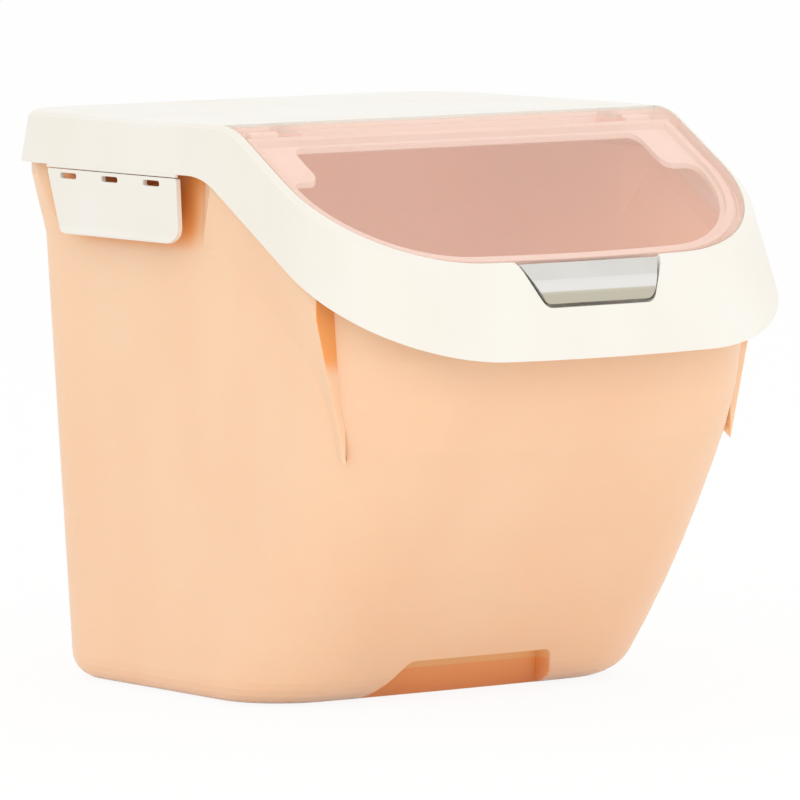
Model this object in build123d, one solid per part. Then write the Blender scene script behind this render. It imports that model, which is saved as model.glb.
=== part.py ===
from build123d import *
import os
from math import cos, radians, sin, tan

# Rice bin with a drop-front lid, a clear flap and two side clips.
# Millimetres. X is to the right, -Y is the front, and the bin stands on z = 0.
# The origin is the middle of the footprint of the whole bin.

# Whole bin
WIDTH = 270.0
DEPTH = 328.0
HEIGHT = 276.0

# Lid seen from the side: flat at the rear, then falling to the front
SLOPE_ANGLE = 30.5
SKIRT_DROP = 24.0
TOP_FOLD_Y = -38.7
SKIRT_FOLD_Y = -24.0
TOP_FOLD_RADIUS = 40.0
SKIRT_FOLD_RADIUS = 45.0

# Lid seen from above, and how far its faces lean in for each millimetre of rise
LID_WALL = 2.5
LID_REAR_RADIUS = 45.0
LID_FRONT_RADIUS = 80.0
LID_FRONT_BULGE = 5.0
SIDE_DRAFT = 0.15
REAR_DRAFT = 0.2
FRONT_DRAFT = 0.5
LID_EDGE_CHAMFER = 1.9

# Flap, its recess in the lid and the opening under it
FLAP_THICKNESS = 2.4
FLAP_INSET = 3.8
FLAP_GAP = 0.5
FLAP_LIP_WIDTH = 2.0
FLAP_LIP_GAP = 0.6
RECESS_DEPTH = 5.2
DECK_WALL = 2.2
LEDGE_WIDTH = 8.5
OPENING_REAR_Y = -47.5
OPENING_CORNER_RADIUS = 6.0
CORNER_BLOCK_WIDTH = 17.3
CORNER_BLOCK_DEPTH = 24.0
FLAP_SEAL_INSET = 3.4
FLAP_SEAL_WIDTH = 3.2
FLAP_SEAL_GAP = 0.3
FLAP_SEAL_REAR_GAP = 1.4

# Flap hinge
HINGE_DEPTH = 6.0
HINGE_TILT = 12.0
CURL_END_ANGLE = 60.0
TROUGH_GAP = 0.5
EAR_RADIUS = 3.3
EAR_WIDTH = 15.5
EAR_NECK = 3.2
EAR_SETBACK = 18.5
HINGE_PIN_RADIUS = 1.5
HINGE_PIN_FIT = 0.1
HINGE_PIN_END_GAP = 1.5
KNUCKLE_WIDTH = 10.0
KNUCKLE_GAP = 0.6

# Latch button in the front face of the lid
LATCH_TOP_HALF = 40.0
LATCH_BOTTOM_HALF = 30.5
LATCH_TOP_DROP = 1.1
LATCH_HEIGHT = 18.4
LATCH_CORNER_RADIUS = 4.5
LATCH_GAP = 1.4
LATCH_FLOOR_GAP = 1.8
LATCH_SKIN = 2.2
LATCH_TOP_SETBACK = 2.0
LATCH_RIDGE_DROP = 8.8
LATCH_LIP_DROP = 14.0
LATCH_LIP = 1.0
LATCH_PIVOT_RISE = 5.8
LATCH_PIVOT_DEPTH = 4.6
LATCH_PIN_RADIUS = 1.2
LATCH_PIN_FIT = 0.1
LATCH_EAR_RADIUS = 2.7
LATCH_EAR_WIDTH = 3.0
LATCH_EAR_X = 20.0
POCKET_WALL = 2.6

# Spring of the latch button
SPRING_WIRE = 0.8
SPRING_LENGTH = 12.0

# Catch under the front edge of the flap, and the button's nose that holds it
CATCH_HALF = 13.0
CATCH_THICKNESS = 1.8
CATCH_DEPTH = 8.0
CATCH_HEIGHT = 2.2
CATCH_BITE = 0.8
CATCH_GAP = 0.35
NOSE_HALF = 11.0
NOSE_GAP = 0.6
NOSE_REACH = 12.0
POCKET_BACK_GAP = 0.6

# Tub, measured from the lid that covers it
TUB_WALL = 2.5
FLOOR = 2.8
SIDE_OVERHANG = 10.4
REAR_OVERHANG = 11.4
SIDE_LEAN = 0.04
REAR_LEAN = 0.018
TUB_FRONT_BULGE = 4.0
FOOT_RADIUS = 12.0
RIM_ABOVE_SKIRT = 5.0
RIM_SEAL_HEIGHT = 2.0
RIM_SEAL_GAP = 0.36
RING_FILL = 2.0

# Front wall of the tub from the side: height, and set-back behind the lid's front edge
FRONT_LINE = [(0.0, 123.0), (60.0, 75.5), (108.0, 46.1), (143.0, 29.1), (168.0, 23.3)]
FRONT_LINE_TOP = 19.0
FRONT_CORNER_FOOT = 42.0
FRONT_CORNER_TOP = 60.0
REAR_CORNER_FOOT = 38.0
REAR_CORNER_TOP = 32.0
WALL_BANDS = 12
FOOT_BANDS = 5
INNER_WALL_BANDS = 6
INNER_FOOT_BANDS = 3

# Flared collar round the rear of the tub, which ends in a step on each side
FLARE_GAP = 2.7
FLARE_OUT = 7.6
FLARE_ROOT = 10.0
FLARE_LOW = 39.0
FLARE_HIGH = 6.0
FLARE_STEP_Y = -107.0
FLARE_STEP_EASE = 1.8
FLARE_CORNER_RADIUS = 39.6

# Finger grip under the front of the tub
GRIP_BOTTOM_HALF = 53.0
GRIP_TOP_HALF = 41.0
GRIP_HEIGHT = 20.0
GRIP_DEPTH = 13.0
GRIP_LEAN = 0.9
GRIP_CORNER_RADIUS = 6.0

# Side clips on film hinges under the skirt
CLIP_CENTRE_Y = 53.5
CLIP_LENGTH = 111.0
CLIP_HEIGHT = 31.0
CLIP_THICKNESS = 2.4
CLIP_LEAN = 1.2
CLIP_LIP = 1.3
CLIP_LIP_HEIGHT = 4.0
CLIP_REAR_SLANT = 9.0
CLIP_CORNER_RADIUS = 9.0
CLIP_SHOULDER_RADIUS = 1.2
SLOT_PITCH = 35.7
SLOT_LENGTH = 14.0
SLOT_HEIGHT = 2.8
SLOT_DROP = 1.7
SLOT_SHIFT = 1.6
BEAD_RADIUS = 0.8
BEAD_DROP = 0.8
BEAD_IN = 0.4
BEAD_GAP = 0.3
HOOK_BITE = 1.4
HOOK_HEIGHT = 4.0
HOOK_SLANT = 1.4
HOOK_END_GAP = 9.0
HOOK_GAP = 0.3

# Ribs on the tub that the clips hook under, and the bays behind the clips
CATCH_RIB_DROP = 20.9
CATCH_RIB_HEIGHT = 3.0
CATCH_RIB_SETBACK = 4.0
CATCH_RIB_PAST_CLIP = 5.0
CATCH_RIB_TAPER = 6.0
BAY_MARGIN = 4.0
BAY_ANGLE = 22.0
BAY_DROP = 38.0
BAY_RISE = 1.5
BAY_CORNER_RADIUS = 8.0

# Worked out from the sizes above
REACH = 500.0
RISE = 60.0
HALF_WIDTH = WIDTH / 2
HALF_DEPTH = DEPTH / 2
LEAN = radians(SLOPE_ANGLE)
SLOPE = tan(LEAN)
SKIRT_Z = HEIGHT - SKIRT_DROP
FRONT_SLANT = FRONT_DRAFT / (1 + FRONT_DRAFT * SLOPE)
FRONT_INSET_SHARE = 1 + FRONT_DRAFT / 4
FRONT_JOIN_Y = SKIRT_FOLD_Y - SKIRT_FOLD_RADIUS * SLOPE
REAR_JOIN_Y = HALF_DEPTH - LID_REAR_RADIUS - SKIRT_DROP / 4
TOP_ARC_Y = TOP_FOLD_Y + TOP_FOLD_RADIUS * tan(LEAN / 2)
HINGE_Y = TOP_ARC_Y - (TOP_FOLD_RADIUS - HINGE_DEPTH) * sin(radians(HINGE_TILT))
HINGE_Z = HEIGHT - TOP_FOLD_RADIUS + (TOP_FOLD_RADIUS - HINGE_DEPTH) * cos(radians(HINGE_TILT))
TROUGH_RADIUS = HINGE_DEPTH + TROUGH_GAP
EAR_OUTER_X = HALF_WIDTH - EAR_SETBACK
EAR_INNER_X = EAR_OUTER_X - EAR_WIDTH
SEAL_TOP = RIM_ABOVE_SKIRT + RIM_SEAL_GAP + RIM_SEAL_HEIGHT


def top_z(y):
    """Height of the falling part of the lid's top face."""
    return HEIGHT + SLOPE * (y - TOP_FOLD_Y)


def skirt_z(y):
    """Height of the falling part of the skirt's bottom edge."""
    return SKIRT_Z + SLOPE * (y - SKIRT_FOLD_Y)


TOP_RISE = top_z(0) - skirt_z(0)
FLAP_FRONT_Y = -HALF_DEPTH + FLAP_INSET * FRONT_INSET_SHARE + FRONT_DRAFT * TOP_RISE


def face_y(z, inset=0.0):
    """Place of the lid's front face on the centre line, at a height."""
    return -HALF_DEPTH + inset + FRONT_SLANT * (z - skirt_z(-HALF_DEPTH))


def slope_point(ahead, depth):
    """Place and height of a point ahead of the flap's front edge along the fall, and square under the top."""
    y = FLAP_FRONT_Y - ahead * cos(LEAN) + depth * sin(LEAN)
    z = top_z(FLAP_FRONT_Y) - ahead * sin(LEAN) - depth * cos(LEAN)
    return (y, z)


LATCH_TOP_Z = top_z(FLAP_FRONT_Y) - LATCH_TOP_DROP
LATCH_BOTTOM_Z = LATCH_TOP_Z - LATCH_HEIGHT
LATCH_FLANK = (LATCH_TOP_HALF - LATCH_BOTTOM_HALF) / LATCH_HEIGHT
PIVOT_Z = LATCH_BOTTOM_Z + LATCH_PIVOT_RISE
PIVOT_Y = face_y(PIVOT_Z) + LATCH_PIVOT_DEPTH
POCKET_BACK_Y = slope_point(-CATCH_THICKNESS, CATCH_DEPTH)[0] + POCKET_BACK_GAP
BEAD_X = HALF_WIDTH - BEAD_IN
BEAD_Z = SKIRT_Z - BEAD_DROP
CLIP_TOP_Z = BEAD_Z - BEAD_RADIUS - BEAD_GAP
CLIP_BOTTOM_Z = CLIP_TOP_Z - CLIP_HEIGHT
CATCH_RIB_Z = SKIRT_Z - CATCH_RIB_DROP
CATCH_RIB_X = HALF_WIDTH - CATCH_RIB_SETBACK


def polygon(*points):
    """A flat face with straight sides."""
    return make_face(Polyline(*points, close=True))


def side_region(fold_y, level, radius):
    """Side view of all that lies under a line that runs flat and then falls to the front."""
    front_z = level + SLOPE * (-REACH - fold_y)
    face = polygon((REACH, -REACH), (REACH, level), (fold_y, level), (-REACH, front_z), (-REACH, -REACH))
    fold = face.vertices().sort_by_distance((fold_y, level))[0]
    return fillet(fold, radius)


def top_region(drop=0.0):
    """Side view of all under the lid's top face, or under a copy of it set in by the drop."""
    return side_region(TOP_FOLD_Y + drop * tan(LEAN / 2), HEIGHT - drop, TOP_FOLD_RADIUS - drop)


def skirt_region(rise=0.0):
    """Side view of all under the skirt's bottom edge, or under a copy of it raised by the rise."""
    return side_region(SKIRT_FOLD_Y, SKIRT_Z + rise, SKIRT_FOLD_RADIUS)


def above_skirt(rise=0.0):
    """Side view of all above the skirt's bottom edge, or above a raised copy of it."""
    return polygon((-REACH, -REACH), (REACH, -REACH), (REACH, REACH), (-REACH, REACH)) - skirt_region(rise)


def across(face, half=REACH):
    """A side view pushed out to both sides."""
    return extrude(Plane.YZ * face, half, both=True)


def block(x_range, y_range, z_range):
    """A box between two limits each way."""
    ranges = (x_range, y_range, z_range)
    size = [high - low for low, high in ranges]
    middle = [(low + high) / 2 for low, high in ranges]
    return Pos(*middle) * Box(*size)


def slab(y_min, y_max):
    """Everything between two planes across the depth."""
    return block((-REACH, REACH), (y_min, y_max), (-REACH, REACH))


def rod(radius, x_min, x_max, y, z):
    """A round bar along X."""
    return Pos((x_min + x_max) / 2, y, z) * Rot(0, 90, 0) * Cylinder(radius, x_max - x_min)


def both_sides(piece):
    """A piece and its mirror image."""
    return piece + mirror(piece, Plane.YZ)


def corner_edges(solid):
    """Edges round the top of a solid, where its top faces meet its sides."""
    tops = ShapeList(face for face in solid.faces() if face.normal_at(face.center()).Z > 0.6)
    edges = {}
    for edge in tops.edges():
        middle = edge.position_at(0.5)
        edges.setdefault((round(middle.X, 2), round(middle.Y, 2), round(middle.Z, 2)), []).append(edge)
    return ShapeList(shared[0] for shared in edges.values() if len(shared) == 1)


def front_outline(half, front_y, radius):
    """Rounded front of the lid's outline, drawn on the falling plane."""
    nose = (front_y - SKIRT_FOLD_Y) / cos(LEAN)
    side = nose + LID_FRONT_BULGE / cos(LEAN)
    rim = Polyline((-half, side), (-half, 0), (half, 0), (half, side))
    front = ThreePointArc((-half, side), (0, nose), (half, side))
    face = make_face([rim, front])
    return fillet(face.vertices().sort_by(Axis.Y)[:2], radius)


def rear_outline(half, rear_y, radius):
    """Rounded rear end of the lid's outline, drawn flat."""
    length = rear_y - FRONT_JOIN_Y
    face = Pos(0, rear_y - length / 2) * Rectangle(2 * half, length)
    return fillet(face.vertices().sort_by(Axis.Y)[-2:], radius)


def falling_outline(inset, rise):
    """Front outline of the lid on a copy of the skirt's falling plane, raised by the rise."""
    half = HALF_WIDTH - inset - SIDE_DRAFT * rise
    front_y = -HALF_DEPTH + inset * FRONT_INSET_SHARE + FRONT_DRAFT * rise
    radius = LID_FRONT_RADIUS - inset - SIDE_DRAFT * rise
    plane = Plane((0, SKIRT_FOLD_Y, SKIRT_Z + rise), x_dir=(1, 0, 0), z_dir=(0, -SLOPE, 1))
    return plane * front_outline(half, front_y, radius)


def lid_front(inset):
    """Front part of the lid's drafted body, as a solid above the falling skirt line."""
    body = loft([falling_outline(inset, 0.0), falling_outline(inset, RISE)], ruled=True)
    return body & slab(-REACH, FRONT_JOIN_Y)


def lid_middle(inset):
    """Straight-sided middle of the lid's drafted body, whose sides lean in above the skirt line."""
    half = HALF_WIDTH - inset
    band = block((0, half), (FRONT_JOIN_Y, REAR_JOIN_Y), (skirt_z(FRONT_JOIN_Y) - RISE, SKIRT_Z + RISE))
    lean = Vector(-SIDE_DRAFT, 0, 1)
    wedge = extrude(Plane.YZ.offset(half) * above_skirt(), 2 * RISE * lean.length, dir=lean)
    return both_sides(band - across(skirt_region()) - wedge)


def lid_rear(inset):
    """Rear end of the lid's drafted body."""
    faces = []
    for rise in (0.0, RISE):
        half = HALF_WIDTH - inset - SIDE_DRAFT * rise
        rear_y = HALF_DEPTH - inset - REAR_DRAFT * rise
        radius = LID_REAR_RADIUS - inset - SIDE_DRAFT * rise
        faces.append(Pos(0, 0, SKIRT_Z + rise) * rear_outline(half, rear_y, radius))
    return loft(faces, ruled=True) & slab(REAR_JOIN_Y, REACH)


def lid_body(inset):
    """Drafted body of the lid above the skirt line, set in from its outer faces."""
    return lid_front(inset) + lid_middle(inset) + lid_rear(inset)


def flap_room(inset):
    """Straight-sided room over the flap's outline, square to the fall so that the flap can lift out of it."""
    front = extrude(falling_outline(inset, TOP_RISE), RISE, both=True)
    half = HALF_WIDTH - inset - SIDE_DRAFT * TOP_RISE
    return front + block((-half, half), (FRONT_JOIN_Y, REACH), (0, HEIGHT + RISE))


def wall_outline(z, setback, inset, foot=0.0):
    """Level section of the tub with a slightly bowed front, drawn in all round by the rounding of the foot."""
    share = z / (SKIRT_Z + RIM_ABOVE_SKIRT)
    front_radius = FRONT_CORNER_FOOT + (FRONT_CORNER_TOP - FRONT_CORNER_FOOT) * share
    rear_radius = REAR_CORNER_FOOT + (REAR_CORNER_TOP - REAR_CORNER_FOOT) * share
    inset = inset + foot
    half = HALF_WIDTH - SIDE_OVERHANG - SIDE_LEAN * (SKIRT_Z - z) - inset
    rear_y = HALF_DEPTH - REAR_OVERHANG - REAR_LEAN * (SKIRT_Z - z) - inset
    front_y = -HALF_DEPTH + setback + 1.2 * inset
    side_y = front_y + TUB_FRONT_BULGE
    rim = Polyline((-half, side_y), (-half, rear_y), (half, rear_y), (half, side_y))
    front = ThreePointArc((-half, side_y), (0, front_y), (half, side_y))
    face = make_face([rim, front])
    face = fillet(face.vertices().sort_by(Axis.Y)[:2], front_radius - inset)
    corners = [v for v in face.vertices() if abs(v.Y - rear_y) < 0.01]
    return Pos(0, 0, z) * fillet(corners, rear_radius - inset)


def tub_walls(inset, floor, wall_bands, foot_bands):
    """Leaning walls of the tub above a floor, in level bands, with a front that recedes to a rounded foot."""
    points = [(setback, z) for z, setback in FRONT_LINE]
    line = Spline(*points, (FRONT_LINE_TOP, SKIRT_Z + 2 * RIM_ABOVE_SKIRT))
    radius = FOOT_RADIUS - inset
    shoulder = floor + radius
    faces = []
    for step in range(foot_bands):
        turn = radians(90 * step / foot_bands)
        z = shoulder - radius * cos(turn)
        setback = setback_at(line, z)
        faces.append(wall_outline(z, setback, inset, radius * (1 - sin(turn))))
    low = parameter_at(line, shoulder)
    for step in range(wall_bands + 1):
        point = line @ (low + (1 - low) * step / wall_bands)
        faces.append(wall_outline(point.Y, point.X, inset))
    return loft(faces, ruled=True)


def parameter_at(line, z):
    """How far along a rising line it passes a height, from 0 to 1."""
    low, high = 0.0, 1.0
    while high - low > 1e-9:
        middle = (low + high) / 2
        if (line @ middle).Y < z:
            low = middle
        else:
            high = middle
    return low


def setback_at(line, z):
    """Set-back of the front wall at a height."""
    return (line @ parameter_at(line, z)).X


def tub_flare(inset):
    """Collar that widens the tub under the lid, round its rear and along both sides."""
    half = HALF_WIDTH - LID_WALL - FLARE_GAP - inset
    rear_y = HALF_DEPTH - LID_WALL - FLARE_GAP - inset
    radius = FLARE_CORNER_RADIUS - inset
    steep = (FLARE_LOW - FLARE_HIGH) / FLARE_OUT
    depth = FLARE_OUT + FLARE_ROOT

    low = SKIRT_Z - FLARE_HIGH - steep * depth
    small = Pos(0, 0, low) * rear_outline(half - depth, rear_y - depth, radius - depth)
    large = Pos(0, 0, SKIRT_Z - FLARE_HIGH) * rear_outline(half, rear_y, radius)
    collar = loft([small, large], ruled=True) + extrude(large, RISE)
    rear = collar & slab(REAR_JOIN_Y, REACH)

    lean = Vector(1, 0, steep)
    above = above_skirt(-FLARE_HIGH - steep * depth)
    side = extrude(Plane.YZ.offset(half - depth) * above, depth * lean.length, dir=lean)
    front = FLARE_STEP_Y + inset
    ease = 3 * FLARE_STEP_EASE
    plan = polygon(
        (0, front), (half - FLARE_STEP_EASE, front), (half, front + ease), (half, REAR_JOIN_Y), (0, REAR_JOIN_Y)
    )
    return rear + both_sides(side & extrude(plan, SKIRT_Z + RISE))


def clip_bay(grow):
    """Bay in the flared collar behind each clip, with slanted ends, or that bay with a wall round it."""
    low = SKIRT_Z - BAY_DROP
    high = SKIRT_Z + BAY_RISE
    half = CLIP_LENGTH / 2 + BAY_MARGIN
    wall = HALF_WIDTH - SIDE_OVERHANG - SIDE_LEAN * (SKIRT_Z - low)
    inner = wall - 2 * TUB_WALL
    run = 1 / tan(radians(BAY_ANGLE))
    near = half - (wall - inner) * run
    far = half + (HALF_WIDTH - wall) * run
    plan = polygon((inner, -near), (HALF_WIDTH, -far), (HALF_WIDTH, far), (inner, near))
    plan = Pos(0, CLIP_CENTRE_Y) * plan
    if grow:
        plan = offset(plan, grow, kind=Kind.INTERSECTION)
    bay = Pos(0, 0, low - grow) * extrude(plan, high - low + 2 * grow)
    return both_sides(bay)


def grip_space(grow):
    """Finger grip in the foot of the front wall, or that space with a wall round it."""
    low = -1.0
    high = GRIP_HEIGHT + grow
    flank = (GRIP_BOTTOM_HALF - GRIP_TOP_HALF) / GRIP_HEIGHT
    wide = GRIP_BOTTOM_HALF + grow - flank * low
    narrow = GRIP_BOTTOM_HALF + grow - flank * high
    shape = polygon((-wide, low), (wide, low), (narrow, high), (-narrow, high))
    shape = fillet(shape.vertices().sort_by(Axis.Y)[-2:], GRIP_CORNER_RADIUS)
    prism = extrude(Plane.XZ * shape, REACH, both=True)
    back = -HALF_DEPTH + FRONT_LINE[0][1] + GRIP_DEPTH + grow
    side = polygon((-REACH, low), (back - GRIP_LEAN * low, low), (back - GRIP_LEAN * high, high), (-REACH, high))
    return prism & across(side)


def catch_ribs():
    """Ribs with tapered ends that the clips hook under, one on each side of the tub."""
    half = CLIP_LENGTH / 2 + CATCH_RIB_PAST_CLIP
    root = HALF_WIDTH - SIDE_OVERHANG - SIDE_LEAN * CATCH_RIB_DROP - TUB_WALL / 2
    tip = half - CATCH_RIB_TAPER
    plan = Pos(0, CLIP_CENTRE_Y) * polygon((root, -half), (CATCH_RIB_X, -tip), (CATCH_RIB_X, tip), (root, half))
    return both_sides(Pos(0, 0, CATCH_RIB_Z) * extrude(plan, CATCH_RIB_HEIGHT))


def make_tub(walls, flare, inner_walls, inner_flare):
    """Tub with its flared collar, clip bays, catch ribs and finger grip."""
    outside = walls + flare - grip_space(0)
    inside = inner_walls + inner_flare - grip_space(TUB_WALL)
    return (outside - inside) & across(skirt_region(RIM_ABOVE_SKIRT)) + catch_ribs()


def rim_ring(outside, inside):
    """The line of the tub's rim, carried on upwards."""
    return (outside - inside) & block((-REACH, REACH), (-REACH, REACH), (skirt_z(-HALF_DEPTH), HEIGHT))


def latch_outline(grow, high, drop=0.0):
    """Front view of the latch button up to a height, or of the pocket round it."""
    low = LATCH_BOTTOM_Z - grow - drop
    wide = LATCH_BOTTOM_HALF + grow + LATCH_FLANK * (high - LATCH_BOTTOM_Z)
    narrow = LATCH_BOTTOM_HALF + grow + LATCH_FLANK * (low - LATCH_BOTTOM_Z)
    face = polygon((-narrow, low), (narrow, low), (wide, high), (-wide, high))
    return fillet(face.vertices().sort_by(Axis.Y)[:2], LATCH_CORNER_RADIUS + grow)


def depthwise(face, y_min, y_max):
    """A front view pushed along the depth."""
    plane = Plane((0, y_min, 0), x_dir=(-1, 0, 0), z_dir=(0, 1, 0))
    return extrude(plane * face, y_max - y_min)


def hinge_beads():
    """Round beads on the film-hinge lines of the two clips, under the lid's skirt."""
    bead = Pos(BEAD_X, CLIP_CENTRE_Y, BEAD_Z) * Rot(90, 0, 0) * Cylinder(BEAD_RADIUS, CLIP_LENGTH)
    ends = (CLIP_CENTRE_Y - CLIP_LENGTH / 2, CLIP_CENTRE_Y + CLIP_LENGTH / 2)
    web = block((BEAD_X - BEAD_RADIUS, HALF_WIDTH), ends, (BEAD_Z, SKIRT_Z + BEAD_IN))
    return both_sides(bead + web)


def window():
    """Opening in the lid under the flap, with a block left in each rear corner."""
    half = HALF_WIDTH - FLAP_INSET - LEDGE_WIDTH - SIDE_DRAFT * TOP_RISE
    block_y = OPENING_REAR_Y - CORNER_BLOCK_DEPTH
    join_y = block_y - 2 * OPENING_CORNER_RADIUS
    right = [(half, join_y), (half, block_y), (half - CORNER_BLOCK_WIDTH, block_y)]
    right.append((half - CORNER_BLOCK_WIDTH, OPENING_REAR_Y))
    left = [(-x, y) for x, y in reversed(right)]
    plan = polygon(*right, *left)
    plan = fillet([v for v in plan.vertices() if v.Y > join_y + 1], OPENING_CORNER_RADIUS)
    front = flap_room(FLAP_INSET + LEDGE_WIDTH) & slab(-REACH, join_y)
    return (front + extrude(plan, HEIGHT)) - across(top_region(RECESS_DEPTH + 3 * DECK_WALL))


def hinge_ears():
    """Bored ears in the trough that carry the flap's hinge pins."""
    ear = rod(EAR_RADIUS, EAR_INNER_X, EAR_OUTER_X, HINGE_Y, HINGE_Z)
    neck = block(
        (EAR_INNER_X, EAR_OUTER_X),
        (HINGE_Y - EAR_NECK / 2, HINGE_Y + EAR_NECK / 2),
        (HINGE_Z - TROUGH_RADIUS - DECK_WALL / 2, HINGE_Z),
    )
    return both_sides(ear + neck - rod(HINGE_PIN_RADIUS, EAR_INNER_X - 1, EAR_OUTER_X + 1, HINGE_Y, HINGE_Z))


def make_lid(ring):
    """Lid shell with a ring over the tub's rim, the flap's recess and opening, and the latch pocket."""
    outer = lid_body(0) & across(top_region())
    outer = chamfer(corner_edges(outer), LID_EDGE_CHAMFER)
    inner = lid_body(LID_WALL)
    trough = rod(TROUGH_RADIUS, -REACH, REACH, HINGE_Y, HINGE_Z)
    trough_wall = rod(TROUGH_RADIUS + DECK_WALL, -REACH, REACH, HINGE_Y, HINGE_Z)
    low_room = (inner & across(top_region(RECESS_DEPTH + DECK_WALL))) - trough_wall
    rear_room = inner & across(top_region(LID_WALL)) & slab(HINGE_Y + TROUGH_RADIUS + DECK_WALL, REACH)
    lid = outer - low_room - rear_room

    above_seal = across(above_skirt(SEAL_TOP))
    lid = lid + (ring & above_seal & lid_body(LID_WALL / 2) & across(top_region(LID_WALL / 2)))
    housing = latch_outline(LATCH_GAP + POCKET_WALL, top_z(-HALF_DEPTH / 2))
    housing = depthwise(housing, -HALF_DEPTH, POCKET_BACK_Y + POCKET_WALL) & lid_front(LID_WALL / 2)
    lid = lid + (housing & across(top_region(RECESS_DEPTH + DECK_WALL / 2)) & above_seal)

    recess = flap_room(FLAP_INSET - FLAP_GAP)
    lid = lid - ((recess & slab(-REACH, HINGE_Y)) - across(top_region(RECESS_DEPTH)))
    mouth = (HINGE_Y - HINGE_DEPTH, HINGE_Y + TROUGH_RADIUS)
    well = trough + block((-REACH, REACH), mouth, (HINGE_Z, HEIGHT + RISE))
    lid = lid - (well & recess) - window() + hinge_ears()

    drop = LATCH_FLOOR_GAP - LATCH_GAP
    pocket = depthwise(latch_outline(LATCH_GAP, HEIGHT, drop), -HALF_DEPTH - LATCH_HEIGHT, POCKET_BACK_Y)
    return lid - pocket - latch_pin_shape() + hinge_beads()


def latch_pin_shape():
    """Pivot pin of the latch button, let into both side walls of its pocket."""
    half = LATCH_BOTTOM_HALF + LATCH_GAP + LATCH_FLANK * LATCH_PIVOT_RISE + POCKET_WALL * 0.8
    return rod(LATCH_PIN_RADIUS, -half, half, PIVOT_Y, PIVOT_Z)


def make_latch_spring():
    """Torsion spring wound round the latch pin, with one leg against the back of the pocket."""
    inside = LATCH_PIN_RADIUS + LATCH_PIN_FIT
    half = SPRING_LENGTH / 2
    coil = rod(inside + SPRING_WIRE, -half, half, PIVOT_Y, PIVOT_Z) - rod(inside, -half, half, PIVOT_Y, PIVOT_Z)
    low = PIVOT_Z + inside
    leg = block((half - SPRING_WIRE, half), (PIVOT_Y, POCKET_BACK_Y), (low, low + SPRING_WIRE))
    return coil + leg


def flap_section():
    """Side view of the flap: a plate that follows the lid's fold and curls round the hinge behind."""
    centre_z = HEIGHT - TOP_FOLD_RADIUS
    tilt = radians(HINGE_TILT)
    far_y = TOP_ARC_Y - REACH * sin(tilt)
    far_z = centre_z + REACH * cos(tilt)
    low_z = centre_z - REACH
    ahead = polygon((TOP_ARC_Y, centre_z), (far_y, far_z), (-REACH, far_z), (-REACH, low_z), (TOP_ARC_Y, low_z))
    plate = (top_region() - top_region(FLAP_THICKNESS)) & ahead
    tube = Circle(HINGE_DEPTH) - Circle(HINGE_DEPTH - FLAP_THICKNESS)
    start = radians(90 + HINGE_TILT)
    end = radians(CURL_END_ANGLE)
    turns = ((REACH, start), (2 * REACH, (start + end) / 2), (REACH, end))
    wedge = polygon((0, 0), *[(length * cos(turn), length * sin(turn)) for length, turn in turns])
    return plate + Pos(HINGE_Y, HINGE_Z) * (tube & wedge)


def catch_section():
    """Side view of the flap's catch: a tongue square to the fall, with a barb that points forward."""
    top = FLAP_THICKNESS / 2
    step = CATCH_DEPTH - CATCH_HEIGHT
    reach = CATCH_GAP + CATCH_BITE
    return polygon(
        slope_point(0, top), slope_point(0, step), slope_point(reach, step),
        slope_point(reach, CATCH_DEPTH - CATCH_HEIGHT / 2), slope_point(0, CATCH_DEPTH),
        slope_point(-CATCH_THICKNESS, CATCH_DEPTH), slope_point(-CATCH_THICKNESS, top),
    )


def make_flap():
    """Clear flap with a lip round its edge, a catch in front and knuckles behind."""
    edge = flap_room(FLAP_INSET)
    flap = across(flap_section(), HALF_WIDTH) & edge
    lip = edge - flap_room(FLAP_INSET + FLAP_LIP_WIDTH)
    lip = lip & slab(-REACH, HINGE_Y - 1.5 * HINGE_DEPTH) & across(top_region(FLAP_THICKNESS / 2))
    button_room = LATCH_TOP_HALF + LATCH_GAP
    lip = lip - block((-button_room, button_room), (-REACH, -HALF_DEPTH / 2), (0, HEIGHT))
    flap = flap + (lip - across(top_region(RECESS_DEPTH - FLAP_LIP_GAP)))
    flap = flap + across(catch_section(), CATCH_HALF)

    inner = EAR_INNER_X - KNUCKLE_GAP
    knuckle = rod(HINGE_DEPTH, inner - KNUCKLE_WIDTH, inner, HINGE_Y, HINGE_Z)
    bore = rod(HINGE_PIN_RADIUS + HINGE_PIN_FIT, inner - KNUCKLE_WIDTH - 1, inner + 1, HINGE_Y, HINGE_Z)
    return flap + both_sides(knuckle) - both_sides(bore)


def make_hinge_pin():
    """Pin of the flap's right-hand hinge, pressed into its ear."""
    inner = EAR_INNER_X - KNUCKLE_GAP - KNUCKLE_WIDTH + HINGE_PIN_END_GAP
    return rod(HINGE_PIN_RADIUS, inner, EAR_OUTER_X, HINGE_Y, HINGE_Z)


def make_flap_seal():
    """Soft ring on the ledge under the flap."""
    rear = HINGE_Y - TROUGH_RADIUS - FLAP_SEAL_REAR_GAP
    outer = flap_room(FLAP_INSET + FLAP_SEAL_INSET) & slab(-REACH, rear)
    inner = flap_room(FLAP_INSET + FLAP_SEAL_INSET + FLAP_SEAL_WIDTH) & slab(-REACH, rear - FLAP_SEAL_WIDTH)
    ring = (outer - inner) & across(top_region(FLAP_THICKNESS + FLAP_SEAL_GAP))
    return ring - across(top_region(RECESS_DEPTH))


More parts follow.
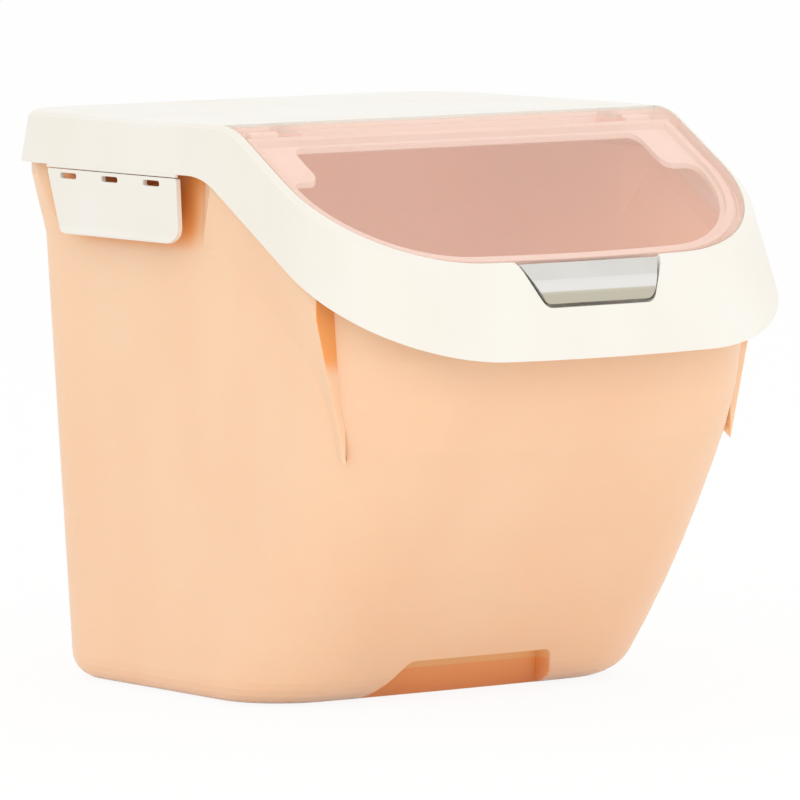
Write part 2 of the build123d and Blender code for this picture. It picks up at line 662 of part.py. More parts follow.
def button_section():
    """Side view of the latch button as if it were solid: a sloping top, a ridge and a lip for the finger."""
    top_y = face_y(LATCH_TOP_Z) + LATCH_TOP_SETBACK
    ridge_z = LATCH_TOP_Z - LATCH_RIDGE_DROP
    lip_z = LATCH_TOP_Z - LATCH_LIP_DROP
    low_y = face_y(LATCH_BOTTOM_Z)
    return polygon(
        (top_y, LATCH_TOP_Z), (face_y(ridge_z) - LATCH_LIP / 2, ridge_z), (face_y(lip_z) - LATCH_LIP, lip_z),
        (low_y + LATCH_LIP / 2, LATCH_BOTTOM_Z), (low_y + LATCH_PIVOT_DEPTH, LATCH_BOTTOM_Z),
        (top_y, LATCH_TOP_Z - LATCH_SKIN / 2),
    )


def button_hollow():
    """Side view of the room inside the latch button, open to the back."""
    top_y = face_y(LATCH_TOP_Z) + LATCH_TOP_SETBACK
    ridge_z = LATCH_TOP_Z - LATCH_RIDGE_DROP
    lip_z = LATCH_TOP_Z - LATCH_LIP_DROP
    roof_z = LATCH_TOP_Z - 1.3 * LATCH_SKIN
    floor_z = LATCH_BOTTOM_Z + LATCH_SKIN
    skin = 0.8 * LATCH_SKIN
    back = LATCH_HEIGHT
    return polygon(
        (top_y + back, roof_z), (top_y, roof_z), (face_y(ridge_z) + skin, ridge_z),
        (face_y(lip_z) + skin, lip_z), (face_y(floor_z) + LATCH_SKIN, floor_z), (top_y + back, floor_z),
    )


def make_latch_button():
    """Grey press button that rocks on its pin, with a nose over the flap's catch."""
    front = -HALF_DEPTH - LATCH_HEIGHT
    body = across(button_section(), HALF_WIDTH) & depthwise(latch_outline(0, LATCH_TOP_Z), front, 0)
    room = depthwise(latch_outline(-LATCH_SKIN, HEIGHT), front, 0)
    body = body - (across(button_hollow(), HALF_WIDTH) & room)

    ear = rod(LATCH_EAR_RADIUS, LATCH_EAR_X, LATCH_EAR_X + LATCH_EAR_WIDTH, PIVOT_Y, PIVOT_Z)
    arm = block(
        (LATCH_EAR_X, LATCH_EAR_X + LATCH_EAR_WIDTH),
        (face_y(PIVOT_Z) + LATCH_SKIN / 2, PIVOT_Y),
        (PIVOT_Z - LATCH_EAR_RADIUS, PIVOT_Z + LATCH_EAR_RADIUS),
    )
    high = FLAP_THICKNESS + NOSE_GAP
    low = CATCH_DEPTH - CATCH_HEIGHT - NOSE_GAP / 2
    nose = polygon(
        slope_point(CATCH_GAP, high), slope_point(NOSE_REACH, high),
        slope_point(NOSE_REACH, low), slope_point(CATCH_GAP, low),
    )
    nose = across(nose, NOSE_HALF) & lid_front(LATCH_SKIN / 2)
    bore = rod(LATCH_PIN_RADIUS + LATCH_PIN_FIT, -HALF_WIDTH, HALF_WIDTH, PIVOT_Y, PIVOT_Z)
    return body + both_sides(ear + arm) + nose - bore


def clip_section():
    """View along the right-hand clip: a plate that leans in and turns out to a finger lip."""
    foot = HALF_WIDTH - CLIP_LEAN
    neck_z = CLIP_BOTTOM_Z + CLIP_LIP_HEIGHT
    tip = foot + CLIP_LIP
    return polygon(
        (HALF_WIDTH - CLIP_THICKNESS, CLIP_TOP_Z), (HALF_WIDTH, CLIP_TOP_Z), (foot, neck_z),
        (tip, CLIP_BOTTOM_Z + CLIP_LIP_HEIGHT / 5), (tip - CLIP_LIP / 3, CLIP_BOTTOM_Z),
        (tip - CLIP_THICKNESS, CLIP_BOTTOM_Z), (foot - CLIP_THICKNESS, neck_z),
    )


def make_clip():
    """Right-hand clip with its three slots, its hook and its finger lip."""
    half = CLIP_LENGTH / 2
    along = Plane((0, CLIP_CENTRE_Y, 0), x_dir=(1, 0, 0), z_dir=(0, -1, 0))
    clip = extrude(along * clip_section(), half, both=True)
    front = CLIP_CENTRE_Y - half
    rear = CLIP_CENTRE_Y + half
    outline = polygon(
        (front, CLIP_BOTTOM_Z), (front, CLIP_TOP_Z), (rear, CLIP_TOP_Z), (rear - CLIP_REAR_SLANT, CLIP_BOTTOM_Z)
    )
    outline = fillet(outline.vertices().sort_by(Axis.Y)[:2], CLIP_CORNER_RADIUS)
    outline = fillet(outline.vertices().sort_by(Axis.Y)[-2:], CLIP_SHOULDER_RADIUS)
    clip = clip & extrude(Plane.YZ * outline, REACH)
    slot = RectangleRounded(SLOT_LENGTH, SLOT_HEIGHT, SLOT_HEIGHT * 0.45)
    for step in (-1, 0, 1):
        place = Pos(CLIP_CENTRE_Y + SLOT_SHIFT + step * SLOT_PITCH, CLIP_TOP_Z - SLOT_DROP - SLOT_HEIGHT / 2)
        clip = clip - extrude(Plane.YZ * (place * slot), REACH)

    top = CATCH_RIB_Z - HOOK_GAP
    reach = CATCH_RIB_X - HOOK_BITE
    wall = HALF_WIDTH - CLIP_LEAN - CLIP_THICKNESS / 2
    hook = polygon((wall, top), (reach, top), (reach, top - HOOK_SLANT), (wall, top - HOOK_HEIGHT))
    return clip + extrude(along * hook, half - HOOK_END_GAP, both=True)


def build():
    """All pieces by name."""
    walls = tub_walls(0, 0, WALL_BANDS, FOOT_BANDS)
    flare = tub_flare(0) - clip_bay(0)
    inner_walls = tub_walls(TUB_WALL, FLOOR, INNER_WALL_BANDS, INNER_FOOT_BANDS)
    inner_flare = tub_flare(TUB_WALL) - clip_bay(TUB_WALL)
    inside = inner_walls + inner_flare
    ring = rim_ring(walls + flare, inside)
    lid_ring = rim_ring(walls + tub_flare(-RING_FILL), inside)
    clip = make_clip()
    pin = make_hinge_pin()
    return {
        "tub": make_tub(walls, flare, inner_walls, inner_flare),
        "lid": make_lid(lid_ring),
        "lid_seal": ring & across(skirt_region(SEAL_TOP)) & across(above_skirt(RIM_ABOVE_SKIRT + RIM_SEAL_GAP)),
        "flap": make_flap(),
        "flap_seal": make_flap_seal(),
        "hinge_pin_right": pin,
        "hinge_pin_left": mirror(pin, Plane.YZ),
        "latch_button": make_latch_button(),
        "latch_pin": latch_pin_shape(),
        "latch_spring": make_latch_spring(),
        "right_clip": clip,
        "left_clip": mirror(clip, Plane.YZ),
    }


os.makedirs("parts", exist_ok=True)
for name, piece in build().items():
    export_step(piece, f"parts/{name}.step")
    print(name, len(piece.solids()), round(piece.volume / 1000, 1), "cm3")
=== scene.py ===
"""Looks of a drop-front rice bin: peach tub, ivory lid, clear flap, grey latch and two side clips."""
import math
from collections import namedtuple

import bpy
from bpy.props import FloatProperty, FloatVectorProperty, PointerProperty
from mathutils import Matrix, Vector


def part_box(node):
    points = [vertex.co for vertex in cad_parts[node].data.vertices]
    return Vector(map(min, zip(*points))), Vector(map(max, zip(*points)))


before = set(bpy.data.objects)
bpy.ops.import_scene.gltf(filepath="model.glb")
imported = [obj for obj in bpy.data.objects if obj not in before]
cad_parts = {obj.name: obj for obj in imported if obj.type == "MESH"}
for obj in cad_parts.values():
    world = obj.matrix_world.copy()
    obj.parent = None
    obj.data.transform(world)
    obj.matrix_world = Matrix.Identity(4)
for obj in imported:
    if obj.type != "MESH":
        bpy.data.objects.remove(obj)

bl_info = {
    "name": "Rice bin looks",
    "version": (1, 0, 0),
    "blender": (4, 5, 0),
    "location": "View3D > Sidebar > Rice bin",
    "description": "Dresses a drop-front rice bin with moulded plastic, clear plastic and a plain studio",
    "category": "Object",
}

MM = 0.001
CLIPS = ("left_clip", "right_clip")

# The finger grip, which leans and narrows with height, painted with shade and with a paler painted light in
# its upper part
GRIP_HEIGHT = 20.4 * MM
GRIP_ROOF_EDGE = 0.5 * MM
# Painted light: height from which the grip's upper part is painted a paler orange
GRIP_TOP = 14 * MM
GRIP_HALF = 53.4 * MM
GRIP_NARROWING = 0.6
GRIP_FOOT_Y = -41 * MM
GRIP_FRONT_EDGE = 1.2 * MM
GRIP_LEAN = 0.79
GRIP_BACK_Y = -27 * MM
GRIP_EDGE = 1 * MM

# The bays behind the clips, and the faces where the collar under the lid ends, which are painted with shade
BAY_DEPTH = 10 * MM
BAY_EDGES = (5 * MM, 6 * MM, 8 * MM)
STEP_INNER_X = 112 * MM
STEP_OUTER_X = 130 * MM
STEP_Y = -107 * MM
STEP_HALF_DEPTH = 0.2 * MM
STEP_FOOT = 172 * MM
STEP_TOP = 215 * MM
STEP_EDGES = (0.5 * MM, 0.2 * MM, 10 * MM)

# The latch's bands, painted lighter and darker as light and shade, and the gap round it, painted with shade
BAND_EDGES = (1 * MM, 0.5 * MM, 1 * MM)
GAP_EDGES = (1.5 * MM, 0.8 * MM, 1.5 * MM)

# Patterns in the plastics
WAVE_SIZE = 45 * MM
WAVE_SHARE = 0.8
CLOUD_SIZE = 90 * MM
CLOUD_AMOUNT = 0.8
CLOUD_SHARE = 0.7
CLOUD_LIMITS = (0.32, 0.68)
FLOW_STRETCH = (3.0, 3.0, 0.5)
SCRATCH_STRETCH = (60.0, 60.0, 900.0)
SCRATCH_TURN = (0.3, 0.2, 0.0)
SCRATCH_LIMITS = (0.6, 0.72)
PATCH_SCALE = 70.0
PATCH_LIMITS = (0.45, 0.65)
MARK_ROUGHNESS = 0.25
GRAIN_DEPTH = 0.02 * MM
BUMP_STRENGTH = 0.35
CLIP_ROUGHER = 0.06
SOAK_OF_EACH_COLOUR = (1.0, 0.6, 0.35)
FACING_BLEND = 0.35
HAZE_START = 0.3

# Lamps and camera, in metres, and the sensor in millimetres
KEY_PLACE = (-1.5, -1.9, 1.7)
KEY_WIDTH = 1.8
FILL_PLACE = (2.0, -1.2, 1.1)
FILL_WIDTH = 1.8
TOP_PLACE = (0.1, 0.3, 2.2)
TOP_WIDTH = 1.4
SENSOR_WIDTH = 36
FAR_CLIP = 100

# A colour Mix node's sockets by number, because several have the same name
MIX_FIRST = 6
MIX_SECOND = 7
MIX_RESULT = 2

Marks = namedtuple("Marks", "low high strength")
# Painted light and shade: a tone painted over masked places, and painted shade where walls stand close
PaintedShading = namedtuple("PaintedShading", "places tone amount")
Shade = namedtuple("Shade", "dust reach deep shallow amount places", defaults=[()])


def tone(red, green, blue):
    """An 8-bit screen colour as linear light."""
    def linear(level):
        level /= 255
        return level / 12.92 if level <= 0.04045 else ((level + 0.055) / 1.055) ** 2.4
    return (linear(red), linear(green), linear(blue))


def dimmed(shade, level):
    """A colour with a share of its light."""
    return tuple(level * part for part in shade)


def colour(name, description, default):
    """A setting that holds a colour."""
    return FloatVectorProperty(
        name=name, description=description, default=default, subtype="COLOR", size=3, min=0, max=1
    )


def length(name, description, default):
    """A setting that holds a length in metres."""
    return FloatProperty(
        name=name, description=description, default=default, min=0, unit="LENGTH", precision=5
    )


def share(name, description, default):
    """A setting that holds a share, from nothing to all."""
    return FloatProperty(name=name, description=description, default=default, min=0, max=1, subtype="FACTOR")


def power(name, description, default):
    """A setting that holds a lamp's power in watts."""
    return FloatProperty(name=name, description=description, default=default, min=0, unit="POWER")


def angle(name, description, degrees):
    """A setting that holds an angle, with its default in degrees."""
    return FloatProperty(
        name=name, description=description, default=math.radians(degrees), subtype="ANGLE", unit="ROTATION"
    )


# Node building


def add(tree, kind, values=None, **settings):
    """A node of a kind, with some of its settings and its input values."""
    made = tree.nodes.new(kind)
    for key, value in settings.items():
        setattr(made, key, value)
    for key, value in (values or {}).items():
        made.inputs[key].default_value = value
    return made


def feed(tree, value, entry):
    """Links a socket to an input, or writes a plain value there."""
    if isinstance(value, bpy.types.NodeSocket):
        tree.links.new(value, entry)
    else:
        entry.default_value = value


def maths(tree, operation, first, second=0.0):
    """One arithmetic node whose operands are sockets or numbers."""
    made = add(tree, "ShaderNodeMath", operation=operation)
    feed(tree, first, made.inputs[0])
    feed(tree, second, made.inputs[1])
    return made.outputs[0]


def product(tree, *factors):
    """Several sockets or numbers multiplied together."""
    result = factors[0]
    for factor in factors[1:]:
        result = maths(tree, "MULTIPLY", result, factor)
    return result


def spread(tree, value, low, high, new_low=0.0, new_high=1.0):
    """A value moved from one range to another, smoothly."""
    made = add(tree, "ShaderNodeMapRange", interpolation_type="SMOOTHSTEP")
    tree.links.new(value, made.inputs["Value"])
    for key, limit in (("From Min", low), ("From Max", high), ("To Min", new_low), ("To Max", new_high)):
        feed(tree, limit, made.inputs[key])
    return made.outputs["Result"]


def fade(tree, value, low, high):
    """One up to a limit, then smoothly down to nothing at another."""
    return spread(tree, value, low, high, 1.0, 0.0)


def blended(tree, mask, first, second):
    """The first colour, with the second over it where the mask is."""
    made = add(tree, "ShaderNodeMix", data_type="RGBA")
    feed(tree, mask, made.inputs["Factor"])
    feed(tree, first, made.inputs[MIX_FIRST])
    feed(tree, second, made.inputs[MIX_SECOND])
    return made.outputs[MIX_RESULT]


def place_on_piece(tree):
    """The place on the piece, at rest."""
    return add(tree, "ShaderNodeTexCoord").outputs["Object"]


def coordinates(tree):
    """The three coordinates of the place on the piece, at rest."""
    split = add(tree, "ShaderNodeSeparateXYZ")
    tree.links.new(place_on_piece(tree), split.inputs[0])
    return split.outputs


def stretched(tree, place, scale, turn=(0.0, 0.0, 0.0)):
    """A place scaled along each axis and turned."""
    made = add(tree, "ShaderNodeMapping", {"Scale": scale, "Rotation": turn})
    tree.links.new(place, made.inputs["Vector"])
    return made.outputs["Vector"]


def noise(tree, place, scale, detail=2.0, roughness=0.5):
    """Cloudy noise, whose scale is a socket or a number."""
    made = add(tree, "ShaderNodeTexNoise", {"Detail": detail, "Roughness": roughness})
    tree.links.new(place, made.inputs["Vector"])
    feed(tree, scale, made.inputs["Scale"])
    return made.outputs["Fac"]


# Effects that several materials share


def effect(name, inputs, outputs):
    """An empty shader node group with named sockets, and its two end nodes."""
    tree = bpy.data.node_groups.new(name, "ShaderNodeTree")
    for label, kind, value in inputs:
        socket = tree.interface.new_socket(name=label, in_out="INPUT", socket_type=kind)
        socket.default_value = value
    for label, kind in outputs:
        tree.interface.new_socket(name=label, in_out="OUTPUT", socket_type=kind)
    return tree, tree.nodes.new("NodeGroupInput").outputs, tree.nodes.new("NodeGroupOutput").inputs


def moulded_grain(name):
    """Fine spark-eroded grain and slow waves of a moulded plastic wall."""
    tree, given, result = effect(name, [
        ("Grain Size", "NodeSocketFloat", 0.6 * MM),
        ("Wave Size", "NodeSocketFloat", 40 * MM),
        ("Wave Share", "NodeSocketFloat", 0.5),
        ("Gloss", "NodeSocketFloat", 0.4),
        ("Gloss Change", "NodeSocketFloat", 0.08),
    ], [("Height", "NodeSocketFloat"), ("Roughness", "NodeSocketFloat")])
    place = place_on_piece(tree)
    fine = noise(tree, place, maths(tree, "DIVIDE", 1.0, given["Grain Size"]), detail=1.5, roughness=0.6)
    slow = noise(tree, place, maths(tree, "DIVIDE", 1.0, given["Wave Size"]), detail=1.0)
    tree.links.new(maths(tree, "ADD", fine, product(tree, slow, given["Wave Share"])), result["Height"])
    change = product(tree, maths(tree, "SUBTRACT", slow, 0.5), given["Gloss Change"])
    tree.links.new(maths(tree, "ADD", given["Gloss"], change), result["Roughness"])
    return tree


def resin_cloud(name):
    """Slow drift between two tones of one resin, with faint flow lines along the height."""
    tree, given, result = effect(name, [
        ("Base", "NodeSocketColor", (0.8, 0.8, 0.8, 1)),
        ("Second", "NodeSocketColor", (0.7, 0.7, 0.7, 1)),
        ("Cloud Size", "NodeSocketFloat", CLOUD_SIZE),
        ("Amount", "NodeSocketFloat", 0.5),
    ], [("Color", "NodeSocketColor")])
    place = place_on_piece(tree)
    scale = maths(tree, "DIVIDE", 1.0, given["Cloud Size"])
    cloud = noise(tree, place, scale)
    flow = noise(tree, stretched(tree, place, FLOW_STRETCH), scale, detail=3.0)
    both = maths(tree, "ADD", product(tree, cloud, CLOUD_SHARE), product(tree, flow, 1 - CLOUD_SHARE))
    mask = product(tree, spread(tree, both, *CLOUD_LIMITS), given["Amount"])
    tree.links.new(blended(tree, mask, given["Base"], given["Second"]), result["Color"])
    return tree


def handling_marks(name):
    """Faint rubbed patches of hair scratches where a plastic piece is handled or set down."""
    tree, given, result = effect(name, [
        ("Low", "NodeSocketFloat", 0.0),
        ("High", "NodeSocketFloat", 20 * MM),
        ("Strength", "NodeSocketFloat", 0.5),
    ], [("Mask", "NodeSocketFloat")])
    place = place_on_piece(tree)
    band = fade(tree, coordinates(tree)["Z"], given["Low"], given["High"])
    drawn_out = stretched(tree, place, SCRATCH_STRETCH, SCRATCH_TURN)
    scratches = noise(tree, drawn_out, 1.0, detail=3.0, roughness=0.7)
    patches = noise(tree, place, PATCH_SCALE)
    rubbed = product(tree, spread(tree, scratches, *SCRATCH_LIMITS), spread(tree, patches, *PATCH_LIMITS))
    tree.links.new(product(tree, rubbed, band, given["Strength"]), result["Mask"])
    return tree


def crevice_shade(name):
    """Painted shade: a deeper tone painted where walls stand close together, in gaps and hollows where shade
    falls.
    """
    tree, given, result = effect(name, [
        ("Color", "NodeSocketColor", (0.8, 0.8, 0.8, 1)),
        ("Dust", "NodeSocketColor", (0.05, 0.04, 0.03, 1)),
        ("Reach", "NodeSocketFloat", 4 * MM),
        ("Deep", "NodeSocketFloat", 0.12),
        ("Shallow", "NodeSocketFloat", 0.5),
        ("Strength", "NodeSocketFloat", 0.8),
    ], [("Color", "NodeSocketColor")])
    gap = add(tree, "ShaderNodeAmbientOcclusion", samples=6)
    tree.links.new(given["Reach"], gap.inputs["Distance"])
    mask = product(tree, fade(tree, gap.outputs["AO"], given["Deep"], given["Shallow"]), given["Strength"])
    tree.links.new(blended(tree, mask, given["Color"], given["Dust"]), result["Color"])
    return tree


def use(made, maker, **values):
    """A shared effect placed in a material with its own values; the effect is built once."""
    name = maker.__name__.replace("_", " ").capitalize()
    node = made.node_tree.nodes.new("ShaderNodeGroup")
    node.node_tree = bpy.data.node_groups.get(name) or maker(name)
    for key, value in values.items():
        node.inputs[key.replace("_", " ")].default_value = value
    return node


# Masks of places on a piece


def soft_box(low, high, edges):
    """A maker of the mask of a box, whose sides are soft by a width for each axis."""
    def mask_of(tree):
        sides = []
        for value, first, last, edge in zip(coordinates(tree), low, high, edges):
            half = (last - first) / 2
            away = maths(tree, "ABSOLUTE", maths(tree, "SUBTRACT", value, first + half))
            sides.append(fade(tree, away, half, half + edge))
        return product(tree, *sides)
    return mask_of


def step_masks():
    """Makers of the masks of the two faces where the collar under the lid ends, which are painted with shade.
    """
    masks = []
    for side in (-1, 1):
        first, last = sorted((side * STEP_INNER_X, side * STEP_OUTER_X))
        low = (first, STEP_Y - STEP_HALF_DEPTH, STEP_FOOT)
        high = (last, STEP_Y + STEP_HALF_DEPTH, STEP_TOP)
        masks.append(soft_box(low, high, STEP_EDGES))
    return masks


def grip_mask(tree):
    """Mask of the finger grip behind the foot of the tub's leaning front wall, where shade is painted."""
    x, y, z = coordinates(tree)
    wide = maths(tree, "ADD", maths(tree, "ABSOLUTE", x), product(tree, z, GRIP_NARROWING))
    behind = maths(tree, "ADD", y, product(tree, z, GRIP_LEAN))
    return product(
        tree,
        fade(tree, wide, GRIP_HALF, GRIP_HALF + GRIP_EDGE),
        spread(tree, behind, GRIP_FOOT_Y, GRIP_FOOT_Y + GRIP_FRONT_EDGE),
        fade(tree, y, GRIP_BACK_Y, GRIP_BACK_Y + GRIP_EDGE),
        fade(tree, z, GRIP_HEIGHT, GRIP_HEIGHT + GRIP_ROOF_EDGE),
    )


def grip_top_mask(tree):
    """Mask of the brighter upper part of the grip, where a paler orange is painted as light."""
    height = coordinates(tree)["Z"]
    return product(tree, grip_mask(tree), spread(tree, height, GRIP_TOP, GRIP_TOP + GRIP_EDGE))


def joined(tree, places, amount):
    """Mask of several places together, by an amount."""
    mask = 0.0
    for mask_of in places:
        mask = maths(tree, "MAXIMUM", mask_of(tree), mask)
    return product(tree, mask, amount)


# Materials


def material(name, own):
    """A new node material and its Principled shader, with plain values on the shader's own sockets."""
    made = bpy.data.materials.new(name)
    made.use_nodes = True
    shader = made.node_tree.nodes["Principled BSDF"]
    for key, value in own.items():
        shader.inputs[key].default_value = value
    return made, shader


def plastic(
    name, base, second, gloss, grain, own=None, cloud=CLOUD_SIZE, depth=GRAIN_DEPTH, change=0.08, marks=None,
    painted_shading=(), shades=()
):
    """Moulded plastic with drifting tone, fine grain, places painted with light or shade, painted shade where
    walls stand close, and handling marks.
    """
    made, shader = material(name, own or {})
    tree = made.node_tree
    tint = use(
        made, resin_cloud, Base=(*base, 1), Second=(*second, 1), Cloud_Size=cloud, Amount=CLOUD_AMOUNT
    ).outputs["Color"]
    # Tones painted over masked places stand in for the light and shade that fall there
    for shading_patch in painted_shading:
        tint = blended(tree, joined(tree, shading_patch.places, shading_patch.amount), tint, (*shading_patch.tone, 1))
    # Painted shade: the tone is darkened towards a shade colour where walls stand close
    for shade in shades:
        darker = use(
            made, crevice_shade, Dust=(*shade.dust, 1), Reach=shade.reach, Deep=shade.deep,
            Shallow=shade.shallow, Strength=shade.amount
        )
        tree.links.new(tint, darker.inputs["Color"])
        if shade.places:
            tree.links.new(joined(tree, shade.places, shade.amount), darker.inputs["Strength"])
        tint = darker.outputs["Color"]
    skin = use(
        made, moulded_grain, Grain_Size=grain, Wave_Size=WAVE_SIZE, Wave_Share=WAVE_SHARE, Gloss=gloss,
        Gloss_Change=change
    )
    rough = skin.outputs["Roughness"]
    if marks:
        worn = use(made, handling_marks, Low=marks.low, High=marks.high, Strength=marks.strength)
        rough = maths(tree, "ADD", rough, product(tree, worn.outputs["Mask"], MARK_ROUGHNESS))
    bump = add(tree, "ShaderNodeBump", {"Strength": BUMP_STRENGTH, "Distance": depth})
    tree.links.new(tint, shader.inputs["Base Color"])
    tree.links.new(rough, shader.inputs["Roughness"])
    tree.links.new(skin.outputs["Height"], bump.inputs["Height"])
    tree.links.new(bump.outputs["Normal"], shader.inputs["Normal"])
    return made


def dress(nodes, made):
    """Gives CAD nodes a material."""
    for name in nodes:
        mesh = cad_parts[name].data
        if mesh.materials:
            for index in range(len(mesh.materials)):
                mesh.materials[index] = made
        else:
            mesh.materials.append(made)


# Settings


class RiceBinTub(bpy.types.PropertyGroup):
    colour: colour("Tub colour", "Main tone of the peach tub", tone(254, 209, 174))
    second: colour("Second tone", "Slightly deeper tone that drifts through the tub", tone(252, 203, 166))
    # Painted shade: deep orange painted into the grip, the bays beside the clips and the collar's steps
    shade: colour("Shade", "Deep orange of the grip, the bays and the collar's steps", tone(255, 164, 82))
    # Painted light: a paler orange painted on the grip's upper part
    lit_shade: colour("Lit shade", "Paler orange of the grip's upper part", tone(255, 196, 126))
    # Painted shade: brown painted on the wall close behind each clip; the margin and reaches below size these
    # painted shades
    deep: colour("Deep shade", "Brown of the wall close behind a clip", tone(120, 44, 14))
    bay: length("Bay margin", "How far the shade of a bay reaches past its clip", 9 * MM)
    reach: length("Shade reach", "How far off a neighbour still shades the grip and the bays", 24 * MM)
    near: length("Deep reach", "How near a clip darkens the wall behind it", 9 * MM)
    gloss: share("Roughness", "How matt the tub's skin is", 0.42)
    grain: length("Grain", "Size of the skin's moulded grain", 0.7 * MM)
    glow: share("Glow", "Share of light that soaks into the thin wall", 0.35)
    soak: length("Soak", "How deep light soaks into the wall", 6 * MM)


class RiceBinLid(bpy.types.PropertyGroup):
    colour: colour("Lid colour", "Main tone of the ivory lid and clips", tone(239, 236, 228))
    second: colour("Second tone", "Slightly warmer tone that drifts through the lid", tone(237, 231, 219))
    # Painted shade: near-black painted on the lid deep in the gap round the latch
    gap: colour("Latch gap", "Dark tone of the lid deep in the gap round the latch", tone(14, 12, 10))
    # Painted shade: a dark tone painted on the clips deep in their slots
    clip_slot_shade: colour("Clip gaps", "Dark tone of the clips deep in their slots", tone(46, 20, 18))
    gloss: share("Roughness", "How matt the lid's skin is", 0.3)
    grain: length("Grain", "Size of the skin's moulded grain", 0.9 * MM)


class RiceBinFlap(bpy.types.PropertyGroup):
    colour: colour("Flap colour", "Tone of the clear flap", tone(252, 200, 180))
    second: colour("Second tone", "Paler tone that drifts through the flap", tone(251, 206, 190))
    haze: share("Haze", "How much of the flap shows seen straight on", 0.34)
    edge_haze: share("Edge haze", "How much of the flap shows seen along its surface", 0.55)
    veil: share("Veil", "Share of its haze that the flap keeps for the light that falls through it", 0.25)
    gloss: share("Roughness", "How matt the flap is", 0.09)


class RiceBinLatch(bpy.types.PropertyGroup):
    colour: colour("Latch colour", "Grey of the latch button", tone(200, 199, 194))
    second: colour("Second tone", "Lighter grey in the latch button", tone(212, 211, 206))
    # Painted light: a lighter grey painted on the finger face
    middle: colour("Middle colour", "Light grey of the latch's finger face", tone(217, 216, 213))
    middle_depth: length("Middle depth", "How far the finger face reaches back from the front edge", 3.4 * MM)
    # Painted shade: a darker warm grey painted on the front lip
    lip: colour("Lip colour", "Darker warm grey of the latch's front lip", tone(186, 180, 162))
    lip_depth: length("Lip depth", "How far the lip's tone reaches back from the front edge", 0.5 * MM)
    # Painted shade: near-black painted on the button's sides deep in the gap round it
    gap: colour("Gap", "Dark tone of the button's sides deep in the gap round it", tone(20, 20, 20))
    gloss: share("Roughness", "How matt the button is", 0.33)


class RiceBinSmall(bpy.types.PropertyGroup):
    seal: colour("Seal colour", "Tone of the soft seals", tone(232, 228, 218))
    steel: colour("Pin colour", "Tone of the hinge pins and the latch spring", tone(190, 190, 188))


class RiceBinStudio(bpy.types.PropertyGroup):
    floor: colour("Floor colour", "Pale tone of the floor", (0.95, 0.94, 0.92))
    floor_size: length("Floor size", "Width of the floor", 30.0)
    wash: share("Wash", "How far the camera sees the floor as plain white", 0.9)
    sky: FloatProperty(name="Sky level", description="Level of the even light all round", default=0.97, min=0)
    key: power("Key power", "Power of the large lamp in front on the left", 10.5)
    fill: power("Fill power", "Power of the large lamp on the right", 4.0)
    top: power("Top power", "Power of the lamp overhead", 0.8)
    azimuth: angle("Camera azimuth", "Turn of the camera towards the bin's left side", 35.3)
    elevation: angle("Camera elevation", "Height of the camera's view above the horizon", 5.2)
    roll: angle("Camera roll", "Tilt of the camera about its own axis", -0.37)
    distance: length("Camera distance", "Distance from the camera to the point it looks at", 4.0)
    look_at: FloatVectorProperty(
        name="Look at", description="Point that the camera looks at",
        default=(-17.8 * MM, -17.5 * MM, 140.1 * MM), subtype="TRANSLATION", unit="LENGTH"
    )
    lens: FloatProperty(
        name="Lens", description="Focal length on a 36 mm sensor, in millimetres", default=377.06, min=1
    )


# Pieces


class RICEBIN_OT_tub(bpy.types.Operator):
    """Gives the tub its peach moulded plastic, with painted shade in the grip, the bays and the collar's
    steps and a paler painted light in the grip's upper part
    """
    bl_idname = "ricebin.tub"
    bl_label = "Tub"

    def execute(self, context):
        look = context.scene.rice_bin_tub
        margin = Vector((BAY_DEPTH, look.bay, 0))
        bays = []
        for clip in CLIPS:
            low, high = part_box(clip)
            bays.append(soft_box(low - margin, high + margin, BAY_EDGES))
        made = plastic(
            "Peach tub plastic", look.colour, look.second, look.gloss, look.grain,
            own={
                "Subsurface Weight": look.glow,
                "Subsurface Radius": SOAK_OF_EACH_COLOUR,
                "Subsurface Scale": look.soak,
            },
            marks=Marks(low=2 * MM, high=30 * MM, strength=0.6),
            # Painted shade on the collar's steps, in the grip and in the bays, a paler painted light in the
            # grip's upper part, and brown painted shade close behind the clips
            painted_shading=[PaintedShading(step_masks(), look.shade, amount=0.9)],
            shades=[
                Shade(look.shade, look.reach, deep=0.5, shallow=0.95, amount=0.95, places=[grip_mask, *bays]),
                Shade(look.lit_shade, look.reach, deep=0.5, shallow=0.95, amount=0.8, places=[grip_top_mask]),
                Shade(look.deep, look.near, deep=0.1, shallow=0.5, amount=0.9, places=bays),
            ]
        )
        dress(["tub"], made)
        return {"FINISHED"}


class RICEBIN_OT_lid(bpy.types.Operator):
    """Gives the lid its ivory moulded plastic, with painted shade in the gap round the latch"""
    bl_idname = "ricebin.lid"
    bl_label = "Lid"

    def execute(self, context):
        look = context.scene.rice_bin_lid
        # Painted shade: the lid is darkened deep in the gap round the latch button
        gap = soft_box(*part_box("latch_button"), GAP_EDGES)
        made = plastic(
            "Ivory lid plastic", look.colour, look.second, look.gloss, look.grain,
            own={"Specular IOR Level": 0.3, "Coat Weight": 0.06, "Coat Roughness": 0.2}, depth=0.008 * MM,
            shades=[Shade(look.gap, reach=4 * MM, deep=0.1, shallow=0.6, amount=1.0, places=[gap])]
        )
        dress(["lid"], made)
        return {"FINISHED"}


class RICEBIN_OT_clips(bpy.types.Operator):
    """Gives the two side clips their ivory plastic, with painted shade in their slots"""
    bl_idname = "ricebin.clips"
    bl_label = "Clips"

    def execute(self, context):
        look = context.scene.rice_bin_lid
        low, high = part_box(CLIPS[0])
        made = plastic(
            "Ivory clip plastic", look.colour, look.second, look.gloss + CLIP_ROUGHER, look.grain,
            marks=Marks(low.z, high.z, strength=0.8),
            # Painted shade in the clips' slots
            shades=[Shade(look.clip_slot_shade, reach=3 * MM, deep=0.1, shallow=0.55, amount=0.95)]
        )
        dress(CLIPS, made)
        return {"FINISHED"}


